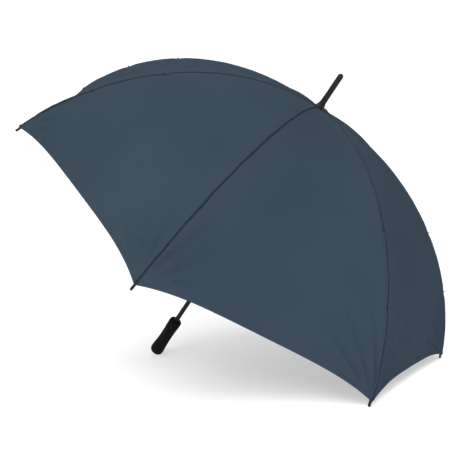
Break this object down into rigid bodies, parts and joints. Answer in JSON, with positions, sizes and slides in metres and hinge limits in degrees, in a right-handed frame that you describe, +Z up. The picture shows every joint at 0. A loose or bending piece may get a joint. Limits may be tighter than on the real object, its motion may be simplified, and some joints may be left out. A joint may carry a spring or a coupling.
{
  "type": "golf umbrella",
  "caption": "Open golf umbrella with a slate-blue ribbed canopy, black ferrule, straight shaft and foam grip, leaning on two rib tips and the handle's end.",
  "frame": {"origin": "on the floor, under the middle of the umbrella's box", "axes": "+Z up from the floor; the shaft lies in the XZ plane and climbs towards +X; +Y is across, along the line between the two rib tips on the floor"},
  "size_m": [0.8618, 1.162, 0.8536],
  "materials": {
    "canopy_cloth": "matt woven",
    "shaft_paint": "satin black",
    "black_plastic": "fine moulded",
    "rib_rod": "satin fibreglass",
    "stretcher_steel": "black enamel",
    "wire_steel": "drawn wire",
    "handle_foam": "matt closed-cell foam"
  },
  "bodies": {
    "shaft": {"shaft": "shaft_paint", "ferrule": "black_plastic", "crown_patch": "canopy_cloth", "top_notch": "black_plastic", "notch_wire": "wire_steel", "stop_collar": "black_plastic", "handle_grip": "handle_foam", "handle_end_cap": "black_plastic"},
    "inner_rib_1": {"inner_rib_1": "rib_rod", "joint_bracket_1": "black_plastic", "canopy_panel_1": "canopy_cloth"},
    "outer_rib_1": {"outer_rib_1": "rib_rod", "rib_tip_1": "black_plastic"},
    "stretcher_1": {"stretcher_1": "stretcher_steel"},
    "inner_rib_2": {"inner_rib_2": "rib_rod", "joint_bracket_2": "black_plastic", "canopy_panel_2": "canopy_cloth"},
    "outer_rib_2": {"outer_rib_2": "rib_rod", "rib_tip_2": "black_plastic"},
    "stretcher_2": {"stretcher_2": "stretcher_steel"},
    "inner_rib_3": {"inner_rib_3": "rib_rod", "joint_bracket_3": "black_plastic", "canopy_panel_3": "canopy_cloth"},
    "outer_rib_3": {"outer_rib_3": "rib_rod", "rib_tip_3": "black_plastic"},
    "stretcher_3": {"stretcher_3": "stretcher_steel"},
    "inner_rib_4": {"inner_rib_4": "rib_rod", "joint_bracket_4": "black_plastic", "canopy_panel_4": "canopy_cloth", "tie_strap": "canopy_cloth"},
    "outer_rib_4": {"outer_rib_4": "rib_rod", "rib_tip_4": "black_plastic"},
    "stretcher_4": {"stretcher_4": "stretcher_steel"},
    "inner_rib_5": {"inner_rib_5": "rib_rod", "joint_bracket_5": "black_plastic", "canopy_panel_5": "canopy_cloth"},
    "outer_rib_5": {"outer_rib_5": "rib_rod", "rib_tip_5": "black_plastic"},
    "stretcher_5": {"stretcher_5": "stretcher_steel"},
    "inner_rib_6": {"inner_rib_6": "rib_rod", "joint_bracket_6": "black_plastic", "canopy_panel_6": "canopy_cloth"},
    "outer_rib_6": {"outer_rib_6": "rib_rod", "rib_tip_6": "black_plastic"},
    "stretcher_6": {"stretcher_6": "stretcher_steel"},
    "inner_rib_7": {"inner_rib_7": "rib_rod", "joint_bracket_7": "black_plastic", "canopy_panel_7": "canopy_cloth"},
    "outer_rib_7": {"outer_rib_7": "rib_rod", "rib_tip_7": "black_plastic"},
    "stretcher_7": {"stretcher_7": "stretcher_steel"},
    "inner_rib_8": {"inner_rib_8": "rib_rod", "joint_bracket_8": "black_plastic", "canopy_panel_8": "canopy_cloth"},
    "outer_rib_8": {"outer_rib_8": "rib_rod", "rib_tip_8": "black_plastic"},
    "stretcher_8": {"stretcher_8": "stretcher_steel"},
    "runner": {"runner": "black_plastic", "runner_wire": "wire_steel"},
    "runner_button": {"runner_button": "black_plastic"}
  },
  "joints": [
    {"name": "rib_1_fold", "type": "hinge", "parent": "shaft", "child": "inner_rib_1", "pos_m": [0.22569, -0.00421, 0.63994], "axis": [0.2724, 0.9239, -0.2688], "range_deg": [0, 76.5], "deforming": ["canopy_panel_1"]},
    {"name": "rib_1_flex", "type": "hinge", "parent": "inner_rib_1", "child": "outer_rib_1", "pos_m": [0.40328, -0.13507, 0.37011], "axis": [0.2724, 0.9239, -0.2688], "range_deg": [-30, 0]},
    {"name": "stretcher_1_turn", "type": "hinge", "parent": "inner_rib_1", "child": "stretcher_1", "pos_m": [0.39149, -0.1291, 0.37869], "axis": [0.2724, 0.9239, -0.2688], "range_deg": [-153.1, 0]},
    {"name": "rib_2_fold", "type": "hinge", "parent": "shaft", "child": "inner_rib_2", "pos_m": [0.22569, 0.00421, 0.63994], "axis": [-0.2724, 0.9239, 0.2688], "range_deg": [0, 76.5], "deforming": ["canopy_panel_2"]},
    {"name": "rib_2_flex", "type": "hinge", "parent": "inner_rib_2", "child": "outer_rib_2", "pos_m": [0.40328, 0.13507, 0.37011], "axis": [-0.2724, 0.9239, 0.2688], "range_deg": [-30, 0]},
    {"name": "stretcher_2_turn", "type": "hinge", "parent": "inner_rib_2", "child": "stretcher_2", "pos_m": [0.39149, 0.1291, 0.37869], "axis": [-0.2724, 0.9239, 0.2688], "range_deg": [-153.1, 0]},
    {"name": "rib_3_fold", "type": "hinge", "parent": "shaft", "child": "inner_rib_3", "pos_m": [0.22146, 0.01016, 0.64412], "axis": [-0.6576, 0.3827, 0.6489], "range_deg": [0, 76.5], "deforming": ["canopy_panel_3"]},
    {"name": "rib_3_flex", "type": "hinge", "parent": "inner_rib_3", "child": "outer_rib_3", "pos_m": [0.26731, 0.3261, 0.50428], "axis": [-0.6576, 0.3827, 0.6489], "range_deg": [-30, 0]},
    {"name": "stretcher_3_turn", "type": "hinge", "parent": "inner_rib_3", "child": "stretcher_3", "pos_m": [0.26154, 0.31168, 0.50693], "axis": [-0.6576, 0.3827, 0.6489], "range_deg": [-153.1, 0]},
    {"name": "rib_4_fold", "type": "hinge", "parent": "shaft", "child": "inner_rib_4", "pos_m": [0.21546, 0.01016, 0.65004], "axis": [-0.6576, -0.3827, 0.6489], "range_deg": [0, 76.5], "deforming": ["canopy_panel_4", "tie_strap"]},
    {"name": "rib_4_flex", "type": "hinge", "parent": "inner_rib_4", "child": "outer_rib_4", "pos_m": [0.07503, 0.3261, 0.69403], "axis": [-0.6576, -0.3827, 0.6489], "range_deg": [-30, 0]},
    {"name": "stretcher_4_turn", "type": "hinge", "parent": "inner_rib_4", "child": "stretcher_4", "pos_m": [0.07775, 0.31168, 0.68829], "axis": [-0.6576, -0.3827, 0.6489], "range_deg": [-153.1, 0]},
    {"name": "rib_5_fold", "type": "hinge", "parent": "shaft", "child": "inner_rib_5", "pos_m": [0.21123, 0.00421, 0.65422], "axis": [-0.2724, -0.9239, 0.2688], "range_deg": [0, 76.5], "deforming": ["canopy_panel_5"]},
    {"name": "rib_5_flex", "type": "hinge", "parent": "inner_rib_5", "child": "outer_rib_5", "pos_m": [-0.06094, 0.13507, 0.8282], "axis": [-0.2724, -0.9239, 0.2688], "range_deg": [-30, 0]},
    {"name": "stretcher_5_turn", "type": "hinge", "parent": "inner_rib_5", "child": "stretcher_5", "pos_m": [-0.0522, 0.1291, 0.81653], "axis": [-0.2724, -0.9239, 0.2688], "range_deg": [-153.1, 0]},
    {"name": "rib_6_fold", "type": "hinge", "parent": "shaft", "child": "inner_rib_6", "pos_m": [0.21123, -0.00421, 0.65422], "axis": [0.2724, -0.9239, -0.2688], "range_deg": [0, 76.5], "deforming": ["canopy_panel_6"]},
    {"name": "rib_6_flex", "type": "hinge", "parent": "inner_rib_6", "child": "outer_rib_6", "pos_m": [-0.06094, -0.13507, 0.8282], "axis": [0.2724, -0.9239, -0.2688], "range_deg": [-30, 0]},
    {"name": "stretcher_6_turn", "type": "hinge", "parent": "inner_rib_6", "child": "stretcher_6", "pos_m": [-0.0522, -0.1291, 0.81653], "axis": [0.2724, -0.9239, -0.2688], "range_deg": [-153.1, 0]},
    {"name": "rib_7_fold", "type": "hinge", "parent": "shaft", "child": "inner_rib_7", "pos_m": [0.21546, -0.01016, 0.65004], "axis": [0.6576, -0.3827, -0.6489], "range_deg": [0, 76.5], "deforming": ["canopy_panel_7"]},
    {"name": "rib_7_flex", "type": "hinge", "parent": "inner_rib_7", "child": "outer_rib_7", "pos_m": [0.07503, -0.3261, 0.69403], "axis": [0.6576, -0.3827, -0.6489], "range_deg": [-30, 0]},
    {"name": "stretcher_7_turn", "type": "hinge", "parent": "inner_rib_7", "child": "stretcher_7", "pos_m": [0.07775, -0.31168, 0.68829], "axis": [0.6576, -0.3827, -0.6489], "range_deg": [-153.1, 0]},
    {"name": "rib_8_fold", "type": "hinge", "parent": "shaft", "child": "inner_rib_8", "pos_m": [0.22146, -0.01016, 0.64412], "axis": [0.6576, 0.3827, -0.6489], "range_deg": [0, 76.5], "deforming": ["canopy_panel_8"]},
    {"name": "rib_8_flex", "type": "hinge", "parent": "inner_rib_8", "child": "outer_rib_8", "pos_m": [0.26731, -0.3261, 0.50428], "axis": [0.6576, 0.3827, -0.6489], "range_deg": [-30, 0]},
    {"name": "stretcher_8_turn", "type": "hinge", "parent": "inner_rib_8", "child": "stretcher_8", "pos_m": [0.26154, -0.31168, 0.50693], "axis": [0.6576, 0.3827, -0.6489], "range_deg": [-153.1, 0]},
    {"name": "runner_turn", "type": "hinge", "parent": "stretcher_1", "child": "runner", "pos_m": [0.12806, -0.00421, 0.541], "axis": [0.2724, 0.9239, -0.2688], "range_deg": [0, 76.6]},
    {"name": "button_press", "type": "slide", "parent": "runner", "child": "runner_button", "axis": [0.6576, 0.3827, -0.6489], "range_m": [0, 0.0015], "stiffness_N_per_m": 600, "springref_m": -0.001}
  ],
  "couplings": [
    {"joint": "rib_1_flex", "follows": "rib_1_fold", "ratio": -0.39085},
    {"joint": "stretcher_1_turn", "follows": "rib_1_fold", "ratio": -2},
    {"joint": "rib_2_fold", "follows": "rib_1_fold", "ratio": 1},
    {"joint": "rib_2_flex", "follows": "rib_1_fold", "ratio": -0.39085},
    {"joint": "stretcher_2_turn", "follows": "rib_1_fold", "ratio": -2},
    {"joint": "rib_3_fold", "follows": "rib_1_fold", "ratio": 1},
    {"joint": "rib_3_flex", "follows": "rib_1_fold", "ratio": -0.39085},
    {"joint": "stretcher_3_turn", "follows": "rib_1_fold", "ratio": -2},
    {"joint": "rib_4_fold", "follows": "rib_1_fold", "ratio": 1},
    {"joint": "rib_4_flex", "follows": "rib_1_fold", "ratio": -0.39085},
    {"joint": "stretcher_4_turn", "follows": "rib_1_fold", "ratio": -2},
    {"joint": "rib_5_fold", "follows": "rib_1_fold", "ratio": 1},
    {"joint": "rib_5_flex", "follows": "rib_1_fold", "ratio": -0.39085},
    {"joint": "stretcher_5_turn", "follows": "rib_1_fold", "ratio": -2},
    {"joint": "rib_6_fold", "follows": "rib_1_fold", "ratio": 1},
    {"joint": "rib_6_flex", "follows": "rib_1_fold", "ratio": -0.39085},
    {"joint": "stretcher_6_turn", "follows": "rib_1_fold", "ratio": -2},
    {"joint": "rib_7_fold", "follows": "rib_1_fold", "ratio": 1},
    {"joint": "rib_7_flex", "follows": "rib_1_fold", "ratio": -0.39085},
    {"joint": "stretcher_7_turn", "follows": "rib_1_fold", "ratio": -2},
    {"joint": "rib_8_fold", "follows": "rib_1_fold", "ratio": 1},
    {"joint": "rib_8_flex", "follows": "rib_1_fold", "ratio": -0.39085},
    {"joint": "stretcher_8_turn", "follows": "rib_1_fold", "ratio": -2},
    {"joint": "runner_turn", "follows": "rib_1_fold", "ratio": 1}
  ]
}
